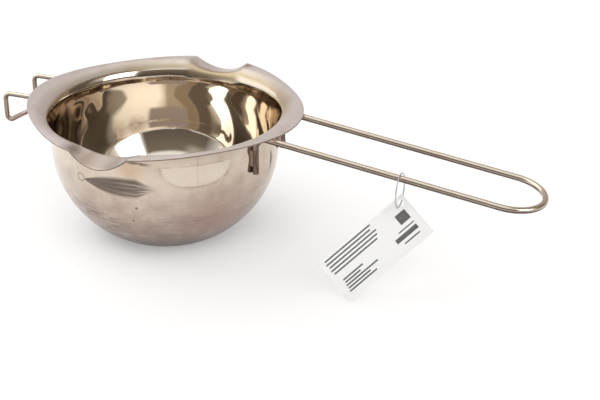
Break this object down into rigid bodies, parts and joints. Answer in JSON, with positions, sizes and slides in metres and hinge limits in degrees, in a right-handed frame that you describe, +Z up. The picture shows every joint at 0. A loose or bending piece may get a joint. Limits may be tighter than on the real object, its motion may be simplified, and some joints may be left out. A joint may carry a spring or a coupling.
{
  "type": "double boiler insert",
  "caption": "Round steel melting bowl with a flat flange, two pouring spouts, a long looped wire handle and wire hooks, to hang in a saucepan; a blank hang tag swings on the handle.",
  "frame": {"origin": "centre of the flat base, on the surface that the pot stands on", "axes": "+X along the handle, -Y and +Y to the two pouring spouts, +Z up"},
  "size_m": [0.3158, 0.16, 0.0736],
  "materials": {
    "pressed_steel": "mirror polished inside and out, satin flange",
    "handle_steel": "polished drawn wire",
    "hook_steel": "polished drawn wire",
    "weld_metal": "heat tinted weld",
    "ring_wire": "bright wire",
    "tag_card": "matt coated card"
  },
  "bodies": {
    "pot": {"bowl": "pressed_steel", "handle_wire": "handle_steel", "front_hook": "hook_steel", "rear_hook": "hook_steel", "handle_welds": "weld_metal", "hook_welds": "weld_metal"},
    "ring": {"tag_ring": "ring_wire"},
    "tag": {"hang_tag": "tag_card"}
  },
  "joints": [
    {"name": "ring_swing", "type": "hinge", "parent": "pot", "child": "ring", "pos_m": [0.1456, -0.0194, 0.06105], "axis": [-0.9922, 0, 0.1243], "range_deg": [0, 80]},
    {"name": "tag_round_ring", "type": "hinge", "parent": "ring", "child": "tag", "pos_m": [0.1456, -0.0194, 0.05427], "axis": [-0.9986, -0.0523, 0], "range_deg": [0, 60]}
  ]
}
